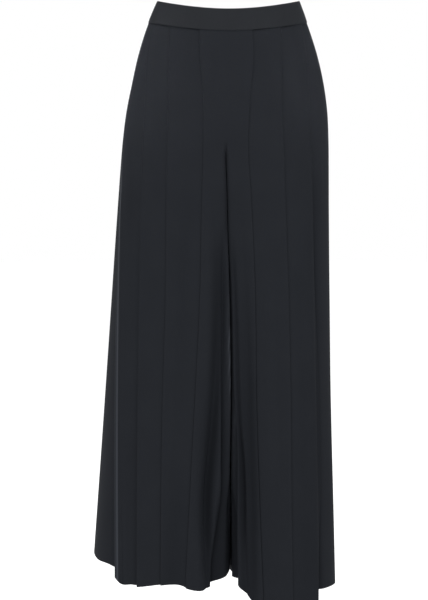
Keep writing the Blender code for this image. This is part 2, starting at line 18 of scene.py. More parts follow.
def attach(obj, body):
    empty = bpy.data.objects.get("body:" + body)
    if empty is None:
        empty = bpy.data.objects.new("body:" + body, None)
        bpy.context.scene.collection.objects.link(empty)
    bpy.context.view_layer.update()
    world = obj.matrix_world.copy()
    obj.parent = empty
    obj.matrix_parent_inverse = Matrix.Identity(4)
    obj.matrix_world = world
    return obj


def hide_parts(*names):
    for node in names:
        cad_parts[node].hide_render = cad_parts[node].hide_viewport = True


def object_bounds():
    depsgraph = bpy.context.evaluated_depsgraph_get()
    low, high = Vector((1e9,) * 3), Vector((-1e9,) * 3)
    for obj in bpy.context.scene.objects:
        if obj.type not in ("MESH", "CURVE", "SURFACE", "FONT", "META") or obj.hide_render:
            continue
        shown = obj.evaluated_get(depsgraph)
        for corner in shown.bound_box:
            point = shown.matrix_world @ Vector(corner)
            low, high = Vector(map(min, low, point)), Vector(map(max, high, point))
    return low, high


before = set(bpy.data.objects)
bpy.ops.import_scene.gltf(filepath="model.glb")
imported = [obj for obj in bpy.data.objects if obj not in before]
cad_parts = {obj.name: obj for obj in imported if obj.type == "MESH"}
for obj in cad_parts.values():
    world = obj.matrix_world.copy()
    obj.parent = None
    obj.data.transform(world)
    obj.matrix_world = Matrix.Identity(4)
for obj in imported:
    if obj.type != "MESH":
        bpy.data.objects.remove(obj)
cad_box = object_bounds()
print("CAD box", [round(v, 4) for corner in cad_box for v in corner])

# %% [markdown]
# ## The tables that give the garment its form
# Sizes are in metres, but tables whose rows are all lengths are typed in millimetres, which are easier
# to read. "Drop" is the distance straight down from the highest point of the waistband. Each table is a
# few measured rows with a smooth curve through them: short tables are easier to correct against a
# picture than thousands of vertices are.

# %% Sizes of the garment
WALL = 0.0005            # real thickness of the crepe
BAND_THICK = 0.0020      # waistband: two layers of crepe with a stiffening between them
BAND_PROUD = 0.0003      # the waistband stands this far over the cloth below it
BAND_HEIGHT = 0.038
BAND_TOP = BAND_HEIGHT / 2   # the origin is half way down the waistband
SEAM_GAP = 0.00002       # sewn edges touch
FRONT_DIP = 0.0215       # the waist edge dips in the middle
BACK_DIP = 0.0150
DIP_POWER = 1.5
CROTCH_START = 0.243
CROTCH_DROP = 0.325
LEG_DROP = 1.040
HEM_EASE_DROP = 0.60
FOLDED_WALL = 2 * WALL + 0.0003   # two layers of crepe in a pressed fold, with the air between


def named(columns, rows):
    """A table as {column name: array}."""
    return dict(zip(columns, np.array(rows, float).T))


def named_mm(columns, rows):
    """The same from rows in millimetres."""
    return {name: column / 1000 for name, column in named(columns, rows).items()}


SECTIONS = named(
    ("drop", "side_right", "side_left", "front", "back", "gap", "crest", "outer_power", "inner_power",
     "fall"),
    [
        (0.000, 0.1290, 0.1275, 0.088, 0.088, 0.00001, 0.01, 2.25, 8.0, 0.000),
        (0.035, 0.1440, 0.1404, 0.097, 0.097, 0.00001, 0.01, 2.25, 8.0, 0.000),
        (0.100, 0.1650, 0.1617, 0.110, 0.112, 0.00001, 0.03, 2.25, 8.0, 0.000),
        (0.150, 0.1763, 0.1730, 0.116, 0.121, 0.00001, 0.07, 2.27, 8.0, 0.000),
        (0.200, 0.1864, 0.1798, 0.120, 0.126, 0.00001, 0.13, 2.30, 9.0, 0.000),
        (0.250, 0.1929, 0.1822, 0.123, 0.128, 0.00003, 0.20, 2.36, 12.0, 0.000),
        (0.300, 0.1973, 0.1829, 0.126, 0.129, 0.00006, 0.27, 2.45, 22.0, 0.030),
        (0.350, 0.2011, 0.1832, 0.129, 0.130, 0.0001, 0.33, 2.55, 28.0, 0.090),
        (0.450, 0.2085, 0.1837, 0.134, 0.133, 0.00015, 0.42, 2.70, 30.0, 0.145),
        (0.550, 0.2156, 0.1850, 0.138, 0.136, 0.0002, 0.47, 2.80, 28.0, 0.165),
        (0.700, 0.2265, 0.1873, 0.143, 0.141, 0.0003, 0.50, 2.90, 20.0, 0.175),
        (0.850, 0.2377, 0.1921, 0.149, 0.146, 0.0007, 0.51, 3.00, 11.0, 0.180),
        (1.000, 0.2490, 0.1966, 0.155, 0.151, 0.0020, 0.51, 3.00, 8.0, 0.180),
        (1.090, 0.2555, 0.1990, 0.159, 0.155, 0.0030, 0.51, 3.00, 8.0, 0.180),
    ],
)
NESTLE_WAVES = named(
    ("depth", "spread", "shift", "starts", "full"),
    [
        (0.030, 0.035, -0.009, 0.33, 0.70),
        (-0.060, 0.030, 0.004, 0.45, 0.90),
    ],
)
NESTLE_REACH = 0.045
# The line where the legs meet in front wanders a little to one side and back.
CENTRE_LINE = named(
    ("drop", "x"),
    [(0.20, 0.0), (0.25, -0.0050), (0.35, -0.0035), (0.45, -0.0008), (0.51, 0.0010), (0.60, 0.0024),
     (0.75, 0.0030), (0.85, 0.0018), (1.00, 0.0005), (1.09, 0.0)],
)
CENTRE_REACH = 0.030
print("sections", len(SECTIONS["drop"]))

# %% Where the knife pleats run
# How far each pressed edge lies from the middle of the garment, seen from the front.
PLEAT_NAMES = ("inner", "middle", "outer", "side")
PLEATS = {
    "right": named_mm(("drop", *PLEAT_NAMES), [
        (  40, 53.5, 106.0, 137.0, 145.0),
        ( 110, 51.3, 108.1, 147.0, 165.5),
        ( 180, 46.0, 108.1, 150.0, 180.0),
        ( 270, 45.2, 110.0, 153.7, 192.5),
        ( 360, 47.8, 110.9, 156.5, 197.4),
        ( 530, 51.4, 112.0, 159.6, 201.8),
        ( 710, 60.3, 117.5, 161.8, 203.9),
        ( 880, 69.2, 120.4, 163.2, 204.2),
        (1050, 77.5, 121.6, 163.7, 203.6),
    ]),
    "left": named_mm(("drop", *PLEAT_NAMES), [
        (  40, 40.2,  91.5, 129.0, 140.0),
        ( 110, 42.8,  93.6, 139.2, 161.0),
        ( 180, 36.7,  93.7, 142.1, 174.5),
        ( 270, 35.0,  96.5, 146.8, 180.0),
        ( 360, 39.4,  99.3, 150.6, 180.8),
        ( 530, 45.7, 104.9, 157.4, 182.5),
        ( 710, 47.5, 108.7, 164.3, 185.0),
        ( 880, 53.0, 110.7, 167.2, 189.0),
        (1050, 60.4, 113.2, 162.5, 194.0),
    ]),
}
# tuck is the depth of cloth folded under the edge, step how far the next panel lies under it, opens the
# drop where the pleat starts to open, hem_step how much lower its edge hangs than what it covers.
PLEAT_COLUMNS = ("tuck_waist", "tuck_hem", "step_waist", "step_hem", "opens", "hem_step")
PLEAT_FOLDS = {
    "right": named_mm(PLEAT_COLUMNS, [
        (4, 10, 1.8,  2, 150, 1.0),
        (4, 10, 1.8,  2, 150, 1.0),
        (4, 12, 1.8,  5, 150, 2.0),
        (4, 18, 1.8, 18, 250, 6.2),
    ]),
    "left": named_mm(PLEAT_COLUMNS, [
        (4, 10, 1.8,  2, 150,  1.0),
        (4, 10, 1.8,  2, 150,  1.0),
        (4, 20, 1.8, 11, 100, 22.5),
        (4, 10, 1.8,  2, 300,  1.0),
    ]),
}
BACK_STEP_SHARE = 0.5
print("pleats", sum(len(table) - 1 for table in PLEATS.values()), "in front and as many behind")

# %% Soft folds and the uneven hems
SOFT_FOLD_COLUMNS = ("at_top", "at_hem", "start", "peak", "rise", "width")     # these last to the hem
SOFT_FOLDS = {
    ("right", "front"): named_mm(SOFT_FOLD_COLUMNS, [
        (140, 142, 600, 1040,  3.0, 22),
        ( 56,  56, 800, 1040,  3.0, 12),
        ( 95, 100, 800, 1040, -4.5, 20),
    ]),
    ("left", "front"): named_mm(SOFT_FOLD_COLUMNS, [
        (150, 168, 160,  500, -6.5,  8.5),
        ( 70,  80, 550, 1040,  3.0, 25.0),
        (130, 140, 550, 1040, -3.0, 22.0),
    ]),
    ("right", "back"): named_mm(SOFT_FOLD_COLUMNS, [
        ( 13,  26, 380,  850, -12, 13),
        ( 90, 100, 500, 1040,   4, 24),
        (170, 185, 450, 1040,  -6, 24),
    ]),
    ("left", "back"): named_mm(SOFT_FOLD_COLUMNS, [
        ( 11,  22, 380,  850, -11, 12),
        ( 80,  85, 500, 1040,   4, 24),
        (140, 150, 450, 1040,  -5, 22),
    ]),
}
# The stack of folds where the fronts of the legs meet. Each has one width, and its distance from the
# middle and its rise at a few drops.
INNER_WIDTHS = {
    ("right", "front"): (0.0105, 0.0050, 0.0054, 0.0015, 0.0150),
    ("left", "front"): (0.0060, 0.0028, 0.0060, 0.0130, 0.0170),
}
INNER_COLUMNS = ("drop", *(f"{column}_{i}" for i in range(5) for column in ("at", "rise")))
INNER_FOLDS = {
    ("right", "front"): named_mm(INNER_COLUMNS, [
        ( 400, 15.0,   0, 12.5,  0.0, 7.0,   0, 2.0, 0.0,  8,   0),
        ( 500, 17.0,  -6, 13.0, -1.0, 7.0,  -7, 2.0, 2.6,  8,   0),
        ( 600, 19.0, -11, 15.0, -1.0, 7.2, -10, 2.0, 4.0,  8,   0),
        ( 700, 22.5, -15, 17.0,  0.5, 7.6, -12, 2.2, 4.0,  8,   0),
        ( 760, 26.5, -19, 19.0,  0.5, 8.0, -13, 2.8, 4.0,  8,   0),
        ( 820, 31.0, -22, 22.0,  0.0, 8.8, -14, 3.6, 4.0,  8,   0),
        ( 870, 35.0, -23, 25.0,  1.0, 8.8, -12, 3.8, 3.0,  8,  -1),
        ( 930, 36.5, -21, 25.0,  1.2, 8.5,  -8, 3.8, 1.4, 10, -13),
        (1000, 35.5, -15, 25.0,  0.0, 8.5,  -2, 4.0, 0.0, 14, -25),
        (1060, 34.0, -11, 25.0,  0.0, 8.5,   0, 4.0, 0.0, 15, -27),
    ]),
    ("left", "front"): named_mm(INNER_COLUMNS, [
        ( 420, 1.0,   0,  2.0, 0.0,  6.0,   0.0, 4,   0, 23,   0),
        ( 500, 1.0,  -2,  2.0, 0.0,  6.0,  -4.0, 4,   0, 23,  -1),
        ( 600, 1.0,  -3,  3.0, 1.4,  7.0,  -6.0, 4,   0, 24,  -4),
        ( 700, 1.5,  -6,  4.5, 2.6,  8.5,  -8.0, 4,   0, 26,  -9),
        ( 760, 3.0, -10,  7.5, 2.4, 11.0, -10.5, 4,   0, 28, -12),
        ( 820, 5.0, -14, 10.5, 2.8, 15.0, -15.0, 4,   0, 30, -14),
        ( 870, 6.0, -15, 12.0, 2.6, 17.0, -16.0, 4,  -1, 32, -15),
        ( 930, 6.5, -11, 14.0, 1.6, 19.0, -14.0, 4, -11, 34, -13),
        (1000, 7.0,  -3, 18.0, 0.0, 22.0,  -7.0, 5, -23, 35, -11),
        (1060, 7.0,   0, 20.0, 0.0, 25.0,  -4.0, 6, -25, 36, -10),
    ]),
}
HEM_COLUMNS = ("share", "right", "left")
HEM = {
    "front": named(HEM_COLUMNS, [
        (0.00, 1.0085, 1.0490),
        (0.15, 1.0108, 1.0505),
        (0.29, 1.0128, 1.0515),
        (0.33, 1.0195, 1.0525),
        (0.36, 1.0325, 1.0560),
        (0.40, 1.0370, 1.0610),
        (0.46, 1.0368, 1.0675),
        (0.54, 1.0365, 1.0680),
        (0.58, 1.0390, 1.0690),
        (0.61, 1.0450, 1.0700),
        (0.64, 1.0480, 1.0690),
        (0.67, 1.0490, 1.0570),
        (0.70, 1.0480, 1.0460),
        (0.74, 1.0440, 1.0410),
        (0.78, 1.0360, 1.0390),
        (1.00, 1.0400, 1.0420),
    ]),
    "back": named(HEM_COLUMNS, [
        (0.00, 1.008, 1.055),
        (0.14, 1.017, 1.051),
        (0.29, 1.024, 1.058),
        (0.43, 1.034, 1.054),
        (0.58, 1.033, 1.060),
        (0.74, 1.044, 1.052),
        (0.87, 1.039, 1.044),
        (1.00, 1.043, 1.046),
    ]),
}
print("soft folds", sum(len(table["rise"]) for table in SOFT_FOLDS.values()))

# %% [markdown]
# ## The small creases
# Crepe that hangs from pressed pleats is never quite flat: each panel has a few long shallow troughs
# and ridges, a few short ones under the waistband, and slack where the legs rub. A noise texture would
# spread such marks evenly, which cloth doesn't do. So each crease is given one by one, with its own
# length, depth and spacing, and the back, which nobody photographed, has its own set of the same kind.

# %% Creases, each given one by one
CREASE_COLUMNS = ("at_top", "at_hem", "start", "peak", "end", "rise", "width")
CREASES = {
    ("right", "front"): named_mm(CREASE_COLUMNS, [
        ( 28,  30.0,  50, 120,  240, -0.9, 10.0),
        ( 80,  85.0,  50, 130,  340,  1.0, 13.0),
        ( 70,  95.0, 220, 470,  860, -1.4, 12.0),
        ( 92, 108.0, 400, 700, 1300,  1.2,  9.0),
        (124, 133.0,  60, 200,  460, -0.9,  8.0),
        (133, 150.0, 340, 620,  980,  1.4, 10.0),
        (172, 180.0, 120, 330,  700, -1.2, 11.0),
        (178, 188.0, 550, 920, 1400,  2.0, 10.0),
        ( 30,  52.0, 280, 520,  780,  1.6,  9.0),
        (191, 196.5, 200, 500, 1400,  2.8,  3.5),
        (215, 217.0, 800, 940, 1700, -1.6,  2.2),
        ( 33,  60.0, 600, 850, 1300, -2.0,  9.0),
    ]),
    ("left", "front"): named_mm(CREASE_COLUMNS, [
        ( 24,  25,  50, 140,  230,  0.8,  9),
        ( 65,  69,  50, 110,  290, -1.0, 12),
        ( 60,  76, 260, 550,  950,  1.3, 11),
        ( 76,  98, 440, 780, 1350, -1.6, 12),
        (113, 120,  80, 240,  520,  1.0,  9),
        (120, 144, 380, 660, 1020, -1.2,  9),
        (160, 168, 140, 300,  620,  0.9, 10),
        ( 21,  40, 300, 600,  920, -1.6,  8),
        ( 33,  50, 620, 900, 1400,  1.8,  9),
    ]),
    ("right", "back"): named_mm(CREASE_COLUMNS, [
        ( 30,  34,  50, 150,  270, -1.2, 12),
        ( 78,  90,  50, 120,  380,  1.1, 14),
        ( 74,  88, 300, 580,  920, -1.5, 12),
        (126, 138, 100, 260,  550,  1.0, 10),
        (130, 148, 420, 720, 1300, -1.6, 11),
        (174, 182, 160, 400,  800,  1.3, 12),
        ( 36,  60, 360, 660, 1200,  1.7, 11),
    ]),
    ("left", "back"): named_mm(CREASE_COLUMNS, [
        ( 26,  28,  50, 130,  250,  1.0, 11),
        ( 64,  72,  50, 160,  360, -1.1, 13),
        ( 68,  84, 280, 500,  840,  1.4, 12),
        (112, 126, 120, 300,  600, -1.0, 10),
        (124, 142, 460, 800, 1400,  1.5, 12),
        (160, 169, 180, 360,  740, -1.2, 11),
        ( 32,  54, 400, 700, 1250, -1.6, 10),
    ]),
}
print("creases", sum(len(table["rise"]) for table in CREASES.values()))

# %% [markdown]
# ## One smooth surface for each half of a leg
# At any drop, a half of a leg is one curve from the side seam to the middle. At the waist it is a
# quarter of an oval. Below the crotch it is half of the leg's own oval. The curves of a whole half leg
# are worked out once, a millimetre apart, and stored as a grid that can be asked for any point.

# %% Curves through the tables
def along(table, column, value, key="drop"):
    """A smooth curve through one column of a table (cubic Hermite with averaged slopes)."""
    xs, ys = table[key], table[column]
    slopes = np.gradient(ys, xs)
    i = np.clip(np.searchsorted(xs, value) - 1, 0, len(xs) - 2)
    step = xs[i + 1] - xs[i]
    t = np.clip((value - xs[i]) / step, 0.0, 1.0)
    return (
        (2 * t**3 - 3 * t**2 + 1) * ys[i]
        + (t**3 - 2 * t**2 + t) * step * slopes[i]
        + (3 * t**2 - 2 * t**3) * ys[i + 1]
        + (t**3 - t**2) * step * slopes[i + 1]
    )


def ease(value, start, end):
    """0 before start, 1 after end, smooth between."""
    t = np.clip((value - start) / (end - start), 0.0, 1.0)
    return t * t * (3 - 2 * t)


def hump(value, start, peak, end):
    """0 before start, 1 at the peak, 0 after the end."""
    return ease(value, start, peak) * (1 - ease(value, peak, end))


print("half way down, the right side stands out", round(float(along(SECTIONS, "side_right", 0.52)), 4))


# %% The surface of half a leg
class LegSurface:
    """The outer face of one leg's front or back, as distances s from its side seam."""

    DROPS = np.arange(0.0, 1.1005, 0.001)
    SHARES = np.linspace(0.0, 1.0, 401)
    NORMAL_REACH = 0.004

    def __init__(self, leg, face):
        self.leg, self.face = leg, face
        drops = self.DROPS[:, None]
        side, depth, gap = (along(SECTIONS, c, drops) for c in ("side_" + leg, face, "gap"))
        power, outer_power = along(SECTIONS, "inner_power", drops), along(SECTIONS, "outer_power", drops)
        sunk = np.clip((drops - CROTCH_START) / (CROTCH_DROP - CROTCH_START), 0.001, 1.0)
        turned = (1 - (1 - sunk**2) ** (power / 2)) ** (1 / power)
        last = np.arcsin(np.minimum(turned ** (power / 2), 1.0))
        flat = np.minimum(0.85, 0.6 * turned)       # how far in the nearly straight part is stepped evenly
        start = np.arcsin(flat ** (power / 2))
        outer_angle = np.linspace(0.0, math.pi / 2, 121)[None, :]
        inner_angle = start + np.linspace(0.0, 1.0, 161)[None, :] * (last - start)
        steps = np.linspace(0.0, 1.0, 61)[None, 1:-1] * flat
        inner = np.concatenate([steps, np.sin(inner_angle) ** (2 / power)], 1)
        inner_depth = np.concatenate(
            [(1 - steps**power) ** (1 / power), np.cos(inner_angle) ** (2 / power)], 1
        )
        crest = gap + (side - gap) * along(SECTIONS, "crest", drops)
        outer_x = crest + (side - crest) * np.cos(outer_angle) ** (2 / outer_power)
        outer_y = np.sin(outer_angle) ** (2 / outer_power)
        fall = 1 - along(SECTIONS, "fall", drops) * (inner / turned) ** 2
        x = np.concatenate([outer_x, crest - (crest - gap) * inner / turned], 1)
        self.outward = -1.0 if face == "front" else 1.0
        y = self.outward * depth * np.concatenate([outer_y, inner_depth * fall], 1)
        s = np.concatenate([np.zeros((len(drops), 1)), np.cumsum(np.hypot(np.diff(x), np.diff(y)), 1)], 1)
        self.length_at, self.gap_at = s[:, -1], gap[:, 0]
        rows = range(len(drops))
        self.x = np.array([np.interp(self.SHARES * s[r, -1], s[r], x[r]) for r in rows])
        self.y = np.array([np.interp(self.SHARES * s[r, -1], s[r], y[r]) for r in rows])
        self.corner_at = np.array([s[r, np.argmin(inner_depth[r] > 0.9) + 121] for r in rows])
        self.corner_at = np.where(inner_depth[:, -1] > 0.9, self.length_at, self.corner_at)

    def length(self, drop):
        return np.interp(drop, self.DROPS, self.length_at)

    def corner(self, drop):
        return np.interp(drop, self.DROPS, self.corner_at)

    def line(self, x_at):
        """A line down the leg, from its distance from the middle at each of DROPS, as s at each."""
        return np.array([
            np.interp(-x_at[r], -self.x[r], self.SHARES) * self.length_at[r] for r in range(len(self.DROPS))
        ])

    def sample(self, drop, s):
        """(x, y) at a drop and s, between the four nearest points of the stored grid."""
        row = np.clip(drop / 0.001, 0, len(self.DROPS) - 1.001)
        column = np.clip(s / self.length(drop), 0, 1) * (len(self.SHARES) - 1.001)
        i, j = row.astype(int), column.astype(int)
        f, g = row - i, column - j
        return [
            (grid[i, j] * (1 - g) + grid[i, j + 1] * g) * (1 - f)
            + (grid[i + 1, j] * (1 - g) + grid[i + 1, j + 1] * g) * f
            for grid in (self.x, self.y)
        ]

    def point(self, drop, s, offset=0.0):
        """(x, y, z) moved outwards by offset. The wearer's right leg is on -X, the left on +X."""
        drop, s = np.broadcast_arrays(np.asarray(drop, float), np.asarray(s, float))
        length = self.length(drop)
        s = np.clip(s, 0.0, length)
        ax, ay = self.sample(drop, np.maximum(s - self.NORMAL_REACH, 0.0))
        bx, by = self.sample(drop, np.minimum(s + self.NORMAL_REACH, length))
        run = np.hypot(bx - ax, by - ay)
        x, y = self.sample(drop, s)
        out = self.outward / run * offset
        x = np.maximum(x + (by - ay) * out, np.interp(drop, self.DROPS, self.gap_at))
        y = y - (bx - ax) * out
        x = -x if self.leg == "right" else x
        shift = sum(
            size * ease(drop, NESTLE_WAVES["starts"][i], NESTLE_WAVES["full"][i])
            * np.exp(-(((y - NESTLE_WAVES["depth"][i]) / NESTLE_WAVES["spread"][i]) ** 2))
            for i, size in enumerate(NESTLE_WAVES["shift"])
        )
        wander = along(CENTRE_LINE, "x", drop) * ease(-y, 0.02, 0.09)
        x = x + shift * np.exp(-((x / NESTLE_REACH) ** 2)) + wander * np.exp(-((x / CENTRE_REACH) ** 2))
        return np.stack([x, y, BAND_TOP - drop], -1)


SURFACES = {(leg, face): LegSurface(leg, face) for leg in ("right", "left") for face in ("front", "back")}
for (leg, face), surface in SURFACES.items():
    print(leg, face, "half girth at the waist", round(float(surface.length(0.0)), 3),
          "and at the hem", round(float(surface.length(LEG_DROP)), 3))

# %% [markdown]
# ## A knife pleat, seen in section
# The panel nearer the middle runs to its pressed edge, turns under, runs back a short way, turns again
# and becomes the next panel towards the side. Three layers lie on each other there. Each column of the
# cloth's grid is one place in that section, given as a kind and a share of the way through it. The two
# turns are small half circles, so that the edges catch the light as rounded, pressed cloth does.

# %% The grid's columns from the inside leg to the side seam
STRIP_COLUMNS = (66, 16, 13, 13, 18)
TURN_ANGLES = tuple(math.radians(a) for a in (90, 50, 0, -50, -90))
CORNER_SHARES = (0.34, 0.75)     # columns crowd around the inner corner of the leg
CORNER_REACH = 0.020
SEAM_SHARES = (0.004, 0.010)     # and close to a seam
UNDER_SHARES = (0.35, 0.7)


def cloth_columns():
    columns = []
    for number, count in enumerate(STRIP_COLUMNS):
        shares = [i / count for i in range(count + 1)]
        if number == 0:
            shares += SEAM_SHARES
        if number == len(PLEAT_NAMES):
            shares += [1 - 2 * share for share in SEAM_SHARES]
        columns += [("strip", number, share) for share in sorted(shares)]
        if number < len(PLEAT_NAMES):
            columns += [("edge", number, angle) for angle in TURN_ANGLES]
            columns += [("under", number, share) for share in UNDER_SHARES]
            columns += [("turn", number, angle) for angle in TURN_ANGLES]
    return columns


COLUMNS = cloth_columns()
print("columns in a panel", len(COLUMNS))


# %% Where a column lies on the surface
class Pleats:
    """The pleats of one surface: where each runs, how deep it is folded and how far it stands open."""

    def __init__(self, surface):
        leg, drops = surface.leg, surface.DROPS
        folds = self.folds = PLEAT_FOLDS[leg]
        self.edges = [surface.line(along(PLEATS[leg], name, drops)) for name in PLEAT_NAMES]
        self.tucks, self.steps = [], []
        for i in range(len(PLEAT_NAMES)):
            opened = ease(drops, folds["opens"][i], LEG_DROP)
            self.tucks.append(folds["tuck_waist"][i] * (1 - opened) + folds["tuck_hem"][i] * opened)
            least, most = folds["step_waist"][i], folds["step_hem"][i]
            if surface.face == "back":
                most = least + (most - least) * BACK_STEP_SHARE
            self.steps.append(least + (most - least) * opened)

    def at(self, number, drop):
        """(s of the edge, tuck, step) at a drop."""
        return [np.interp(drop, LegSurface.DROPS, t[number]) for t in (self.edges, self.tucks, self.steps)]


def on_surface(surface, pleats, column, drop):
    """(s, offset) of a column at each drop."""
    kind, number, share = column
    if kind == "edge":
        edge, _, _ = pleats.at(number, drop)
        half = FOLDED_WALL / 2
        return edge + half * (1 - math.cos(share)), -half + half * math.sin(share) + 0 * drop
    if kind == "under":
        edge, tuck, _ = pleats.at(number, drop)
        return edge + tuck * share, -FOLDED_WALL + 0 * drop
    if kind == "turn":
        edge, tuck, step = pleats.at(number, drop)
        half = (step - FOLDED_WALL) / 2
        bulge = np.minimum(half, 0.0015)
        return edge + tuck + bulge * (math.cos(share) - 1), -FOLDED_WALL - half + half * math.sin(share)
    first, first_offset, last = surface.length(drop) - SEAM_GAP / 2, 0.0 * drop, SEAM_GAP / 2 + 0 * drop
    if number > 0:
        first, _, step = pleats.at(number - 1, drop)
        first_offset = -step
    if number < len(PLEAT_NAMES):
        edge, tuck, _ = pleats.at(number, drop)
        last = edge + FOLDED_WALL / 2
    if number > 0:
        return first + (last - first) * share, first_offset * (1 - ease(share, 0.0, 1.0))
    run = first - last
    inner, outer = 1 - CORNER_SHARES[1], 1 - CORNER_SHARES[0]
    corner = surface.corner(drop)
    before = np.clip(corner - CORNER_REACH, last + 0.10 * run, last + inner * run)
    after = np.clip(corner + CORNER_REACH, before + 0.25 * run, last + outer * run)
    back = 1 - share
    s = np.where(
        back < inner, last + (before - last) * back / inner,
        np.where(back < outer, before + (after - before) * (back - inner) / (outer - inner),
                 after + (first - after) * (back - outer) / (1 - outer)),
    )
    return s, first_offset


print("a folded edge is", round(1000 * FOLDED_WALL, 2), "mm thick")

# %% [markdown]
# ## Swells, creases and seams
# The height of the cloth over its plain surface is a sum of soft bumps: the large folds of the solids,
# the small creases, and a fine valley along the side seam, where the stitches pull the cloth in. Because
# it is all one function of a place on the surface, the layers of a pleat move together and never cross.

# %% Relief of the cloth
class Relief:
    """Everything that lifts or sinks the cloth of one surface."""

    SEAM_DEPTH = 0.0006      # the valley along the side seam
    SEAM_WIDTH = 0.0022

    def __init__(self, surface):
        self.surface = surface
        drops, key = surface.DROPS, (surface.leg, surface.face)
        self.folds = []
        for table in (SOFT_FOLDS[key], CREASES[key]):
            ends = table.get("end", np.full(len(table["rise"]), np.inf))
            for i, rise in enumerate(table["rise"]):
                start = table["start"][i]
                share = np.clip((drops - start) / (LEG_DROP - start), 0.0, 1.0)
                at = table["at_top"][i] * (1 - share) + table["at_hem"][i] * share
                grown = rise * hump(drops, start, table["peak"][i], ends[i])
                self.folds.append((surface.line(at), grown, table["width"][i]))
        for i, width in enumerate(INNER_WIDTHS.get(key, ())):
            at, rise = (along(INNER_FOLDS[key], f"{column}_{i}", drops) for column in ("at", "rise"))
            self.folds.append((surface.line(at), rise, width))

    def height(self, drop, s):
        drops = self.surface.DROPS
        total = 0.0
        for line, grown, width in self.folds:
            away = (s - np.interp(drop, drops, line)) / width
            total = total + np.interp(drop, drops, grown) * np.exp(-away * away)
        return total - self.SEAM_DEPTH * np.exp(-((s / self.SEAM_WIDTH) ** 2))


def waist_dip(face, share):
    """Drop of the waist edge, share 0 at the side seam to 1 at the centre."""
    dip = FRONT_DIP if face == "front" else BACK_DIP
    return dip * np.sin(np.clip(share, 0, 1) * math.pi / 2) ** DIP_POWER


print("relief of the right front:", len(Relief(SURFACES[("right", "front")]).folds), "soft forms")

# %% [markdown]
# ## From a grid to a sheet of cloth
# Blender's own grid gives the faces, and its vertices are then moved to the places worked out above.
# The wall comes from a Solidify modifier. The UV map is the cut piece laid flat, in metres, so that the
# crepe's grain follows the cloth through every fold. A float attribute on the points is 1 or more on
# fold edges, a few lines and where the legs meet, where it lightens the colour as painted highlight and
# painted light and makes the cloth a little smoother, and below 0 in deep hollows, where it darkens the
# colour as painted shade.

# %% A sheet of cloth
HEM_WALL = 0.0011        # the hem is turned up inside, so the wall is two layers there
HEM_TURN = 0.024
FACING_ROWS = 6          # which way a sheet faces is read from its first rows


def linked(name, data):
    """A new object in the scene."""
    made = bpy.data.objects.new(name, data)
    bpy.context.scene.collection.objects.link(made)
    return made


def mesh_object(name, shape):
    """A new object from a bmesh, which is freed."""
    mesh = bpy.data.meshes.new(name)
    shape.to_mesh(mesh)
    shape.free()
    return linked(name, mesh)


def walked(points, axis):
    """How far each point of a grid is from the grid's first line, measured along the cloth."""
    steps = np.diff(points, axis=axis, prepend=np.take(points, [0], axis))
    return np.cumsum(np.linalg.norm(steps, axis=2), axis)


def sheet_object(name, points, wall, uv, pressing_and_painted_light=None, thick=None):
    """points and uv have a row for each line across the piece. thick is a weight for a doubled wall."""
    rows, columns = points.shape[:2]
    grid = bmesh.new()
    bmesh.ops.create_grid(grid, x_segments=columns - 1, y_segments=rows - 1, size=0.5)
    grid.verts.ensure_lookup_table()
    for vert, co in zip(grid.verts, points.reshape(-1, 3)):
        vert.co = co
    layer, flat = grid.loops.layers.uv.new("cut"), uv.reshape(-1, 2)
    for face in grid.faces:
        for corner in face.loops:
            corner[layer].uv = flat[corner.vert.index]
    grid.normal_update()
    facing = sum(
        f.calc_area() * f.normal.dot(f.calc_center_median() * Vector((1, 1, 0)))
        for f in grid.faces if all(v.index < FACING_ROWS * columns for v in f.verts)
    )
    if facing < 0:
        bmesh.ops.reverse_faces(grid, faces=grid.faces[:])
    area = sum(f.calc_area() for f in grid.faces)
    made = mesh_object(name, grid)
    made.data.shade_smooth()
    # the attribute of painted highlights and painted shade
    if pressing_and_painted_light is not None:
        made.data.attributes.new("pressing_and_painted_light", "FLOAT", "POINT").data.foreach_set("value", pressing_and_painted_light.ravel())
    shell = made.modifiers.new("wall", "SOLIDIFY")
    shell.thickness = wall
    shell.offset = -1.0
    shell.use_quality_normals = True
    if thick is not None:
        group = made.vertex_groups.new(name="turned hem")
        for weight in np.unique(thick[thick > 0]):
            group.add(np.flatnonzero(thick.ravel() == weight).tolist(), float(weight), "REPLACE")
        shell.vertex_group = group.name
        shell.thickness = HEM_WALL
        shell.thickness_vertex_group = wall / HEM_WALL
    return made, area


print("hem turned up by", HEM_TURN)

# %% [markdown]
# ## The four legs' panels
# Rows of the grid crowd where the legs part, because the cloth turns fastest there. The rows start
# along the waistband's dip and end along the uneven hem.

# %% Rows of the grid
PARTED = 0.345
HEM_ROWS = (0.036, 0.030, HEM_TURN + 0.001, HEM_TURN, 0.016, 0.008, 0.002, 0.0)     # heights over the hem
ROW_RUNS = (
    (BAND_HEIGHT, CROTCH_START, 0.0060),
    (CROTCH_START, PARTED, 0.0026),
    (PARTED, LEG_DROP - HEM_ROWS[0], 0.0062),
)


def cloth_rows():
    rows = []
    for start, end, step in ROW_RUNS:
        rows += list(np.linspace(start, end, int(round((end - start) / step)), endpoint=False))
    return np.array(rows + [LEG_DROP - height for height in HEM_ROWS])


ROWS = cloth_rows()
print("rows in a panel", len(ROWS), "so", len(ROWS) * len(COLUMNS), "places")
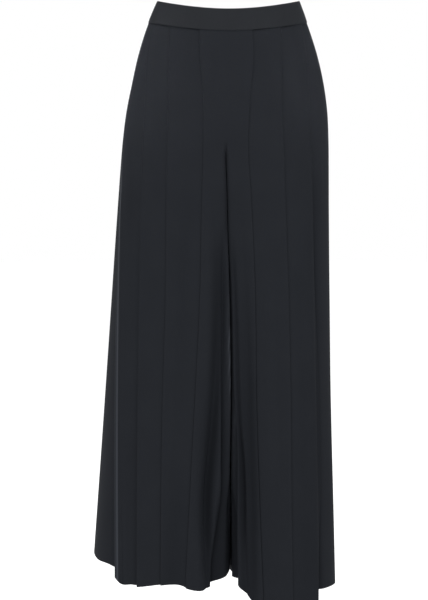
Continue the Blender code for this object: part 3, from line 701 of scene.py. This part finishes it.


# %% Where painted highlights lighten the crepe, and where painted shade darkens it
# Each run is the drops between which a mark grows, or grows and fades.
LIT_PLEAT = ("right", "front", 3)     # this edge gets a stronger painted highlight
LIT_EDGE_PAINTED_HIGHLIGHT = 1.3
LIT_EDGE_RUN = (0.20, 0.40, 0.95)
LIT_SHARE = 0.846                     # a painted highlight line on the panel beside it
LIT_SPREAD = 0.02
LIT_LINE_RUN = (0.22, 0.34)
LINE_PAINTED_HIGHLIGHT = 2.4
BESIDE_PAINTED_HIGHLIGHT = 1.25
GROOVE_LIGHT_X = 0.0024                     # painted light lifts the shade where the fronts of the legs meet
GROOVE_LIGHT_WIDTH = 0.0012
GROOVE_LIGHT_RUN = (0.48, 0.64, 0.88)
GROOVE_PAINTED_LIGHT = {"right": 2.2, "left": 1.1}
INSIDE_EDGE = (0.0005, 0.0025)        # and all the way in from there
INSIDE_GROWS = (0.245, 0.27)
INSIDE_FADES = (0.92, 1.0)
PAINTED_SHADE_DEPTH = 0.012                  # hollows this deep get the full painted shade


# Painted highlight strength at each row: 1 on every fold edge, more on one outer pleat's edge and on lines
# beside it, and painted light lifting the shade where the fronts of the legs meet.
def painted_highlights(surface, column, drop, s, groove_light_line):
    kind, number, share = column
    made = np.full(len(ROWS), 1.0 if kind == "edge" else 0.0)
    if (surface.leg, surface.face, number) == LIT_PLEAT:
        if kind == "edge":
            made = 1.0 + LIT_EDGE_PAINTED_HIGHLIGHT * hump(ROWS, *LIT_EDGE_RUN)
        if kind == "strip" and share > LIT_SHARE - LIT_SPREAD:
            strength = LINE_PAINTED_HIGHLIGHT if share < LIT_SHARE + LIT_SPREAD else BESIDE_PAINTED_HIGHLIGHT
            made = strength * ease(ROWS, *LIT_LINE_RUN)
    # Painted light where the fronts of the legs meet, against the shade of the groove.
    if surface.face == "front":
        away = s - surface.length(drop) - np.interp(drop, surface.DROPS, groove_light_line - surface.length_at)
        strength = GROOVE_PAINTED_LIGHT[surface.leg]
        if surface.leg == "right":
            line = np.exp(-((away / GROOVE_LIGHT_WIDTH) ** 2)) * hump(drop, *GROOVE_LIGHT_RUN)
            made = np.maximum(made, strength * line)
        inside = ease(away, *INSIDE_EDGE) * ease(drop, *INSIDE_GROWS) * (1 - ease(drop, *INSIDE_FADES))
        made = np.maximum(made, strength * inside)
    return made


print("the painted highlight of a line is", LINE_PAINTED_HIGHLIGHT)

# %% One panel of the legs
WAIST_SEAM = 0.0002
HEM_EDGE = 0.08          # the turned hem stops short of each fold


def drops_of(surface, pleats, column):
    """The drop of each row in a column, between the waist's dip and the hem."""
    kind, number, share = column
    round_share = on_surface(surface, pleats, column, ROWS)[0] / surface.length(ROWS)
    fade = np.clip((CROTCH_START - ROWS) / (CROTCH_START - BAND_HEIGHT), 0, 1)
    hem = along(HEM[surface.face], surface.leg, round_share, key="share")
    if number < len(PLEAT_NAMES):
        low = {"strip": ease(share, 0.2, 1.0), "edge": 1.0, "under": 1 - share, "turn": 0.0}[kind]
        step = PLEAT_FOLDS[surface.leg]["hem_step"][number]
        hem = hem + step * low * (BACK_STEP_SHARE if surface.face == "back" else 1.0)
    lowered = np.clip((ROWS - HEM_EASE_DROP) / (LEG_DROP - HEM_EASE_DROP), 0, 1)
    return ROWS + (waist_dip(surface.face, round_share) + WAIST_SEAM) * fade + (hem - LEG_DROP) * lowered


def leg_panel(leg, face):
    surface = SURFACES[(leg, face)]
    pleats, relief = Pleats(surface), Relief(surface)
    groove_light_line = surface.line(np.full(len(surface.DROPS), GROOVE_LIGHT_X))
    points, pressing_and_painted_light = [], []
    for column in COLUMNS:
        drop = drops_of(surface, pleats, column)
        s, offset = on_surface(surface, pleats, column, drop)
        height = relief.height(drop, s)
        points.append(surface.point(drop, s, offset + height))
        # Deep hollows get painted shade; the edges, lines and groove get painted highlights.
        hollow_shade = np.clip(-height / PAINTED_SHADE_DEPTH, 0, 1)
        painted_highlight = painted_highlights(surface, column, drop, s, groove_light_line)
        pressing_and_painted_light.append(np.where(painted_highlight > hollow_shade, painted_highlight, -hollow_shade))
    points, pressing_and_painted_light = np.stack(points, 1), np.stack(pressing_and_painted_light, 1)
    across = walked(points, 1)
    straight = COLUMNS.index(("edge", 1, TURN_ANGLES[2]))     # the grain runs down the middle pleat
    across -= across[:, straight:straight + 1]
    uv = np.stack([across, points[:, :, 2]], -1)
    is_strip = [kind == "strip" and HEM_EDGE < share < 1 - HEM_EDGE for kind, _, share in COLUMNS]
    thick = np.where((ROWS >= LEG_DROP - HEM_TURN)[:, None] & np.array(is_strip), 1.0, 0.0)
    made, area = sheet_object(f"{face}_leg_{leg}_crepe", points, WALL, uv, pressing_and_painted_light, thick)
    print(made.name, "cut area", round(area, 3), "width at the hem", round(float(np.ptp(across[-1])), 3),
          "and at the waist", round(float(np.ptp(across[0])), 3))
    return made


legs = {(leg, face): leg_panel(leg, face) for leg, face in SURFACES}

# %% [markdown]
# ## The waistband
# It is a strip of the same crepe, folded lengthways over a stiffening. Its section is a flat loop: up
# the outside, over a rounded top edge, and down the inside, with the foot of the outer layer turned
# under at the seam. Such a strip has soft edges, which a plain box with bevels would not.

# %% The waistband's section
FOOT_TURN = 0.0004
BELLY = 0.00025          # the outside is a touch rounded


def band_section():
    """(drop below the waist edge, offset) from the turned foot, over the top, to the inside foot."""
    outer, inner = BAND_PROUD, BAND_PROUD - BAND_THICK
    radius = (outer - inner) / 2
    path = [(BAND_HEIGHT - up, outer - 2 * FOOT_TURN - 0.0003) for up in (0.0050, 0.0014)]
    for degrees in (-90, -45, 0, 45, 90):
        a = math.radians(degrees)
        path.append((BAND_HEIGHT - 0.0001 - FOOT_TURN * (1 - math.cos(a)),
                     outer - FOOT_TURN - 0.0001 + FOOT_TURN * math.sin(a)))
    for down in np.linspace(BAND_HEIGHT - 0.0025, 0.0025, 12):
        path.append((down, outer + BELLY * math.sin(math.pi * (BAND_HEIGHT - down) / BAND_HEIGHT)))
    for degrees in (90, 60, 30, 0, -30, -60, -90):
        a = math.radians(degrees)
        path.append((radius * (1 - math.cos(a)), (outer + inner) / 2 + radius * math.sin(a)))
    path += [(down, inner) for down in np.linspace(0.0030, BAND_HEIGHT - 0.0015, 8)]
    return path


BAND_SECTION = band_section()
print("the waistband's section has", len(BAND_SECTION), "places")


# %% The three waistbands
BAND_STEPS = 70          # in a quarter of the waist
SLIDER_DROP = 0.0105
NECK_ROOM = 0.00075      # the cloth parts around the slider's neck
NECK_REACH = 0.0032
RIPPLE = 0.00018


def waistband(name, face, sides):
    """sides are the halves that it spans, from its first end to its last."""
    shares = [i / BAND_STEPS for i in range(BAND_STEPS + 1)]
    walk = [(sides[0], share) for share in shares]
    if len(sides) == 2:
        walk += [(sides[1], share) for share in shares[-2::-1]]
    points = []
    for side, share in walk:
        surface = SURFACES[(side, face)]
        down, offset = np.array(BAND_SECTION).T
        dip = waist_dip(face, share)
        drop = np.maximum(down + dip, 0.0)
        end = surface.length(drop)
        if len(sides) == 1:
            end = end - SEAM_GAP / 2 - NECK_ROOM * np.exp(-(((down - SLIDER_DROP) / NECK_REACH) ** 2))
        s = SEAM_GAP / 2 + (end - SEAM_GAP / 2) * share
        ripple = RIPPLE * math.sin(23 * share + 2 * len(side)) * math.sin(11 * share)
        place = surface.point(drop, s, offset + ripple)
        if len(sides) == 2 and share == 1.0:
            place[:, 0] = 0.0
        points.append(place)
    points = np.stack(points, 1)
    across, around = walked(points, 1), walked(points, 0)
    made, area = sheet_object(name, points[::-1], WALL, np.stack([across, around], -1)[::-1])
    print(name, "cut area", round(area, 4), "width", round(float(np.ptp(across[15])), 3),
          "folded height", round(float(np.ptp(around[:, 0])), 4))
    return made


BAND_SPANS = {
    "waistband_front": ("front", ("right", "left")),
    "waistband_back_right": ("back", ("right",)),
    "waistband_back_left": ("back", ("left",)),
}
bands = {node: waistband(node + "_crepe", *span) for node, span in BAND_SPANS.items()}

# %% [markdown]
# ## Inside the seams
# Where two pieces meet, their edges are sewn together and the last few millimetres are pressed open on
# the inside. They show at the hems and through the waist, and they are what closes a seam to the light.
# The zip is sewn to the two sides of the centre back seam: a woven tape on each, with a row of teeth.

# %% Seam allowances, pressed open
STRIP_WALL = 0.0004
ALLOWANCE_LINES = (0.0, 0.0004, 0.0025, 0.0052, 0.0080)     # distances from the seam
UNDER_WALL = WALL + 0.0007


def inside_strip(name, halves, drops, at_side):
    """A strip of cloth inside a seam, with a surface on each side of it. They meet at their side ends or
    at their inner ends."""
    columns = []
    for surface, distances in zip(halves, (ALLOWANCE_LINES[::-1], ALLOWANCE_LINES)):
        relief = Relief(surface)
        for distance in distances:
            s = distance + 0 * drops if at_side else surface.length(drops) - distance
            columns.append(surface.point(drops, s, relief.height(drops, s) - UNDER_WALL))
    points = np.stack(columns, 1)
    down = walked(points, 0)
    made, area = sheet_object(name, points, STRIP_WALL, np.stack([walked(points, 1), -down], -1))
    length = float(down[-1].mean())
    return made, (area / length, length)


CURVED = CROTCH_START + (CROTCH_DROP - CROTCH_START) * np.sin(np.linspace(0, math.pi / 2, 26)[1:-1])
ZIP_END = 0.205
# where each seam starts and ends, in how many rows, and the piece that holds it up
SEAMS = {
    "side_seam_right": (0.041, 1.003, 150, "waistband_front"),
    "side_seam_left": (0.041, 1.052, 150, "waistband_front"),
    "centre_front_seam": (0.063, CROTCH_START, 40, "waistband_front"),
    "centre_back_seam": (ZIP_END, CROTCH_START, 12, "back_leg_left"),
    "inside_seam_right": (0.329, 1.036, 130, "front_leg_right"),
    "inside_seam_left": (0.329, 1.038, 130, "front_leg_left"),
}
allowances = {}
for name, (start, stop, rows, holder) in SEAMS.items():
    first, middle, last = name.split("_")
    drops = np.linspace(start, stop, rows)
    if first == "centre":
        halves = [SURFACES[(leg, middle)] for leg in ("right", "left")]
        drops = np.concatenate([drops, CURVED])
    else:
        halves = [SURFACES[(last, face)] for face in ("front", "back")]
    strip, size = inside_strip(name, halves, drops, first == "side")
    allowances[name] = (strip, size, holder + "_crepe")
    print(name, "is", round(size[0], 4), "by", round(size[1], 3))

# %% The waist seam's allowance, pressed down inside the legs
WAIST_DEPTH = 0.0030     # clear of three layers of folded crepe
TAPE_ROOM = 0.0150       # left free at the back for the zip's tapes
ABOVE_SEAM = 0.0035
BELOW_SEAM = 0.0085


def waist_allowance(name, face, sides):
    shares = np.linspace(0.0, 1.0, 61)
    walk = [(side, share) for side, order in zip(sides, (shares, shares[-2::-1])) for share in order]
    down = np.linspace(BAND_HEIGHT - ABOVE_SEAM, BAND_HEIGHT + BELOW_SEAM, 5)
    columns = []
    for side, share in walk:
        surface = SURFACES[(side, face)]
        drop = down + waist_dip(face, share)
        end = surface.length(drop) - (0.0 if len(sides) == 2 else TAPE_ROOM)
        columns.append(surface.point(drop, end * share, -WAIST_DEPTH))
    points = np.stack(columns, 1)
    across = walked(points, 1)
    made, _ = sheet_object(name, points, STRIP_WALL, np.stack([across, points[:, :, 2]], -1))
    return made, (float(across[:, -1].mean()), float(np.ptp(down)))


for node, span in BAND_SPANS.items():
    name = node.replace("waistband", "waist_seam")
    strip, size = waist_allowance(name, *span)
    allowances[name] = (strip, size, node + "_crepe")
    print(name, "is", round(size[0], 3), "by", round(size[1], 4))

# %% The zip's tapes and teeth
TAPE_WIDTH = 0.0115
TAPE_GAP = 0.0010                # from the seam to the tape's edge
SLIDER_ROOM = 0.0022             # and this much more beside the slider
SLIDER_END = (0.0315, 0.0350)
TOOTH_PITCH = 0.0015
FIRST_TOOTH = 0.0330             # just under the slider
TOOTH_ENDS = (0.0002, 0.0022)    # distances from the seam
TOOTH_RADII = (0.00034, 0.00044)
BEHIND_TAPE = 0.0010
ZIP_DROPS = np.linspace(BACK_DIP + 0.0030, ZIP_END, 110)
ZIP_DEPTH = 0.0026 - 0.0012 * ease(ZIP_DROPS, 0.046, 0.062)    # behind the thick band, then the thin crepe


def zip_tape(side):
    """It starts beside the slider and runs close to the seam below it."""
    surface = SURFACES[(side, "back")]
    relief = Relief(surface)
    near = TAPE_GAP + SLIDER_ROOM * (1 - ease(ZIP_DROPS, *SLIDER_END))
    points = []
    for share in np.linspace(0.0, 1.0, 6):
        s = surface.length(ZIP_DROPS) - near - (TAPE_WIDTH - near) * share
        points.append(surface.point(ZIP_DROPS, s, relief.height(ZIP_DROPS, s) - ZIP_DEPTH))
    points = np.stack(points, 1)
    across = np.broadcast_to(np.linspace(0.0, TAPE_WIDTH, 6), points.shape[:2])
    down = np.broadcast_to(-ZIP_DROPS[:, None], points.shape[:2])
    made, _ = sheet_object(f"zip_tape_{side}", points, STRIP_WALL, np.stack([across, down], -1))
    return made


def zip_teeth(side):
    """A row of short pegs from the tape's edge to the seam, set between those of the other row."""
    surface = SURFACES[(side, "back")]
    start = FIRST_TOOTH + (TOOTH_PITCH / 2 if side == "left" else 0.0)
    shape = bmesh.new()
    for drop in np.arange(start, ZIP_END - 0.002, TOOTH_PITCH):
        depth = float(np.interp(drop, ZIP_DROPS, ZIP_DEPTH)) + BEHIND_TAPE
        near, far = (Vector(surface.point(drop, surface.length(drop) - d, -depth)) for d in TOOTH_ENDS)
        along_peg = (far - near).to_track_quat("Z", "Y").to_matrix().to_4x4()
        place = Matrix.Translation((near + far) / 2) @ along_peg
        bmesh.ops.create_cone(shape, cap_ends=True, segments=8, radius1=TOOTH_RADII[0],
                              radius2=TOOTH_RADII[1], depth=(far - near).length, matrix=place)
    return mesh_object(f"zip_teeth_{side}", shape)


tapes = [zip_tape(side) for side in ("right", "left")]
teeth = [zip_teeth(side) for side in ("right", "left")]
print("zip teeth", sum(len(row.data.polygons) for row in teeth) // 10)

# %% [markdown]
# ## Light, camera and floor
# The picture was taken with a long lens from the height of the hips, against white. A very pale floor
# and a white surround give that, and most of the light on the cloth. A large soft light in front and one
# at each side fill the panels, a tall strip at each side draws the edges of the pleats, and two narrow
# weak ones lift the hips a little, where the picture is brightest.

# %% Camera
CAMERA_AWAY = 3.0
LOOKS_LOWER = 0.2483     # it looks at a place this far below it
camera_data = bpy.data.cameras.new("camera")
camera_data.lens = 98.16
camera_data.sensor_width = 36.0
camera = linked("camera", camera_data)
camera.location = (-0.02668, -CAMERA_AWAY, -0.2755)
camera.rotation_euler = (math.pi / 2 - math.atan2(LOOKS_LOWER, CAMERA_AWAY), 0.0, 0.0)
bpy.context.scene.camera = camera
print("camera is", round(-camera.location.y, 2), "m in front")


# %% Lights and the white surround
def soft_light(name, place, aim, size, power, spread=180):
    data = bpy.data.lights.new(name, "AREA")
    data.shape = "RECTANGLE"
    data.size, data.size_y = size
    data.energy = power
    data.spread = math.radians(spread)
    made = linked(name, data)
    made.location = place
    made.rotation_euler = (Vector(aim) - Vector(place)).to_track_quat("-Z", "Y").to_euler()


soft_light("front soft light", (-0.6, -2.8, 1.2), (0, 0, -0.30), (1.2, 0.9), 58)
soft_light("top soft light", (0.3, -1.5, 1.9), (0, 0, -0.05), (0.9, 0.6), 10)
soft_light("left soft light", (-2.1, -1.5, 0.5), (-0.1, 0, -0.4), (0.5, 0.8), 27)
soft_light("right soft light", (1.7, -1.9, 0.7), (0.1, 0, -0.3), (0.5, 0.8), 24)
soft_light("left hip light", (-1.7, -1.9, 0.8), (-0.175, 0, -0.12), (0.12, 0.12), 0.24, 9)
soft_light("right hip light", (1.3, -2.2, 0.8), (0.18, 0, -0.12), (0.12, 0.12), 0.14, 9)
soft_light("left edge light", (-2.2, -1.2, 0.2), (-0.1, 0, -0.5), (0.25, 1.6), 2)
soft_light("right edge light", (2.2, -0.7, 0.3), (0.1, 0, -0.5), (0.25, 1.6), 14)
soft_light("back soft light", (0.3, 2.6, 1.6), (0, 0, -0.2), (1.4, 1.0), 16)

world = bpy.data.worlds.new("white surround")
world.use_nodes = True
surround = world.node_tree.nodes["Background"].inputs
surround["Color"].default_value = (1.0, 1.0, 1.0, 1.0)
surround["Strength"].default_value = 1.0
bpy.context.scene.world = world
bpy.context.scene.view_settings.view_transform = "Standard"
print("lights", len(bpy.data.lights))

# %% [markdown]
# ## Writing shaders as sums
# A shader is a small calculation at each point of a surface. Wrapped sockets with the usual signs let
# the script write it as one, and each sum adds the Math nodes that an artist would place by hand.


# %% Shader helpers
class Wire:
    """A socket of a shader, so that maths on it reads as maths."""

    def __init__(self, finish, socket):
        self.finish, self.socket = finish, socket

    def math(self, operation, first, second):
        return self.finish.node("ShaderNodeMath", {"operation": operation}, {0: first, 1: second})

    def __add__(self, other):
        return self.math("ADD", self, other)

    def __sub__(self, other):
        return self.math("SUBTRACT", self, other)

    def __rsub__(self, other):
        return self.math("SUBTRACT", other, self)

    def __mul__(self, other):
        return self.math("MULTIPLY", self, other)

    __radd__, __rmul__ = __add__, __mul__


class Finish:
    """A material that is built node by node."""

    def __init__(self, name):
        self.material = bpy.data.materials.new(name)
        self.material.use_nodes = True
        self.tree = self.material.node_tree
        self.tree.nodes.clear()

    def node(self, kind, settings=None, inputs=None, output=0):
        made = self.tree.nodes.new(kind)
        for name, value in (settings or {}).items():
            setattr(made, name, value)
        for name, value in (inputs or {}).items():
            if isinstance(value, Wire):
                self.tree.links.new(value.socket, made.inputs[name])
            else:
                made.inputs[name].default_value = value
        return Wire(self, made.outputs[output])

    def mix(self, factor, first, second):
        """A colour between two colours."""
        made = self.tree.nodes.new("ShaderNodeMix")
        made.data_type = "RGBA"
        for socket, value in ((made.inputs[0], factor), (made.inputs[6], first), (made.inputs[7], second)):
            if isinstance(value, Wire):
                self.tree.links.new(value.socket, socket)
            else:
                socket.default_value = value
        return Wire(self, made.outputs[2])

    def surface(self, inputs):
        shader = self.node("ShaderNodeBsdfPrincipled", {}, inputs)
        out = self.tree.nodes.new("ShaderNodeOutputMaterial")
        self.tree.links.new(shader.socket, out.inputs["Surface"])
        return self.material


def rgb(red, green, blue):
    return (red, green, blue, 1.0)


print("shader helpers are ready")

# %% [markdown]
# ## Crepe
# Crepe is woven from hard-twisted yarns that shrink unevenly, which leaves a fine pebbled grain with
# little shine. On fold edges, a few lines and where the legs meet, its colour is lightened as painted
# highlight and painted light, and there it is a little smoother; in deep hollows its colour is darkened
# as painted shade. The grain is bump, because each pebble is half a millimetre wide, and it is laid out
# on the cut piece's own UV map.


# %% The crepe's finish
PAINTED_HIGHLIGHT_SHADE = 2.3         # painted highlight colour, against the light colour
PAINTED_HOLLOW_SHADE = 0.92      # painted shade in hollows, against the dark colour


def crepe_finish(name, colour, light_colour, grain):
    crepe = Finish(name)
    cut = crepe.node("ShaderNodeUVMap", {"uv_map": "cut"})
    pebbles, slack, cloud = (
        crepe.node("ShaderNodeTexNoise", {"noise_dimensions": "2D"},
                   {"Vector": cut, "Scale": scale, "Detail": detail, "Roughness": roughness})
        for scale, detail, roughness in ((1500.0, 2.0, 0.6), (160.0, 3.0, 0.5), (14.0, 3.0, 0.55))
    )
    # The attribute holds painted highlights above 0 and painted shade below 0.
    pressing_and_painted_light = crepe.node("ShaderNodeAttribute", {"attribute_name": "pressing_and_painted_light"}, output="Fac")
    # Random tone from the noises, lightened by the painted highlights.
    tone_and_painted_light = cloud * 0.55 + pebbles * 0.45 + pressing_and_painted_light * 0.5 - 0.25
    relief = pebbles * 0.00006 * grain + slack * 0.00010 * grain
    bump = crepe.node("ShaderNodeBump", {}, {"Strength": 1.0, "Distance": 1.0, "Height": relief})
    plain = crepe.mix(tone_and_painted_light, rgb(*colour), rgb(*light_colour))
    # The painted highlight colour, and the painted shade colour for hollows.
    painted_highlight_colour = rgb(*(PAINTED_HIGHLIGHT_SHADE * c for c in light_colour))
    painted_hollow_shade = rgb(*(PAINTED_HOLLOW_SHADE * c for c in colour))
    return crepe.surface({
        "Base Color": crepe.mix(0.0 - pressing_and_painted_light, crepe.mix((pressing_and_painted_light - 1.0) * 0.8, plain, painted_highlight_colour), painted_hollow_shade),
        "Roughness": 0.80 - pressing_and_painted_light * 0.10 + (cloud - 0.5) * 0.10,
        "Normal": bump,
        "Specular IOR Level": 0.022,
        "Sheen Weight": 0.009,
        "Sheen Roughness": 0.45,
        "Sheen Tint": rgb(0.62, 0.70, 0.85),
    })


leg_crepe = crepe_finish("charcoal crepe", (0.0072, 0.0080, 0.0098), (0.0100, 0.0110, 0.0132), 1.0)
band_crepe = crepe_finish("charcoal crepe over stiffening", (0.0092, 0.0100, 0.0115),
                          (0.0124, 0.0133, 0.0150), 0.8)
tape_weave = crepe_finish("black zip tape", (0.0060, 0.0062, 0.0068), (0.0100, 0.0104, 0.0112), 1.6)
print("made", leg_crepe.name, band_crepe.name, "and", tape_weave.name)

# %% [markdown]
# ## Zip metal and the floor
# The zip's slider and pull are painted black, with a satin coat that shows small scuffs. The floor is
# matt and nearly white.


# %% Zip metal and floor finishes
def zip_finish():
    paint = Finish("black satin paint")
    place = paint.node("ShaderNodeTexCoord", {}, output="Object")
    scuffs = paint.node("ShaderNodeTexNoise", {}, {"Vector": place, "Scale": 900.0, "Detail": 4.0})
    bump = paint.node("ShaderNodeBump", {}, {"Strength": 0.4, "Distance": 0.00005, "Height": scuffs})
    return paint.surface({
        "Base Color": paint.mix(scuffs, rgb(0.008, 0.008, 0.009), rgb(0.022, 0.023, 0.026)),
        "Metallic": 0.35,
        "Roughness": 0.42 + scuffs * 0.25,
        "Normal": bump,
        "Coat Weight": 0.1,
    })


def floor_finish():
    matt = Finish("pale matt floor")
    place = matt.node("ShaderNodeTexCoord", {}, output="Object")
    tone = matt.node("ShaderNodeTexNoise", {}, {"Vector": place, "Scale": 3.0, "Detail": 2.0})
    return matt.surface({
        "Base Color": matt.mix(tone, rgb(0.86, 0.86, 0.86), rgb(0.90, 0.90, 0.90)),
        "Roughness": 0.9,
        "Specular IOR Level": 0.1,
        "Emission Color": rgb(1.0, 1.0, 1.0),
        "Emission Strength": 0.15,
    })


zip_paint = zip_finish()
for name in ("zip_slider", "zip_pull"):
    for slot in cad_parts[name].material_slots:
        slot.material = zip_paint
print("zip painted")

# %% Floor
FLOOR_CLEARANCE = 0.22
disc = bmesh.new()
bmesh.ops.create_circle(disc, cap_ends=True, segments=96, radius=14.0)
bmesh.ops.translate(disc, verts=disc.verts, vec=(0, 0, cad_box[0].z - FLOOR_CLEARANCE))
floor = mesh_object("floor", disc)
floor.data.materials.append(floor_finish())
print("floor at", round(cad_box[0].z - FLOOR_CLEARANCE, 3))

# %% [markdown]
# ## What each piece stands for
# Each shell rides on the garment's one body, and the panels and waistbands replace their solids.

FRONT_BAND_WIDTH = 0.38
BACK_BAND_WIDTH = 0.188


def declare(piece, finish, node=None):
    piece.data.materials.append(finish)
    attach(piece, "trousers")
    if node:
        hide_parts(node)


for (leg, face), piece in legs.items():
    declare(piece, leg_crepe, f"{face}_leg_{leg}")
    band = "waistband_front_crepe" if face == "front" else f"waistband_back_{leg}_crepe"
for node, piece in bands.items():
    declare(piece, band_crepe, node)
    width = FRONT_BAND_WIDTH if node == "waistband_front" else BACK_BAND_WIDTH
for strip, size, holder in allowances.values():
    declare(strip, leg_crepe)
for tape in tapes:
    declare(tape, tape_weave)
for row in teeth:
    declare(row, zip_paint)
print("declared", len(legs) + len(bands) + len(allowances) + len(tapes), "sheets")
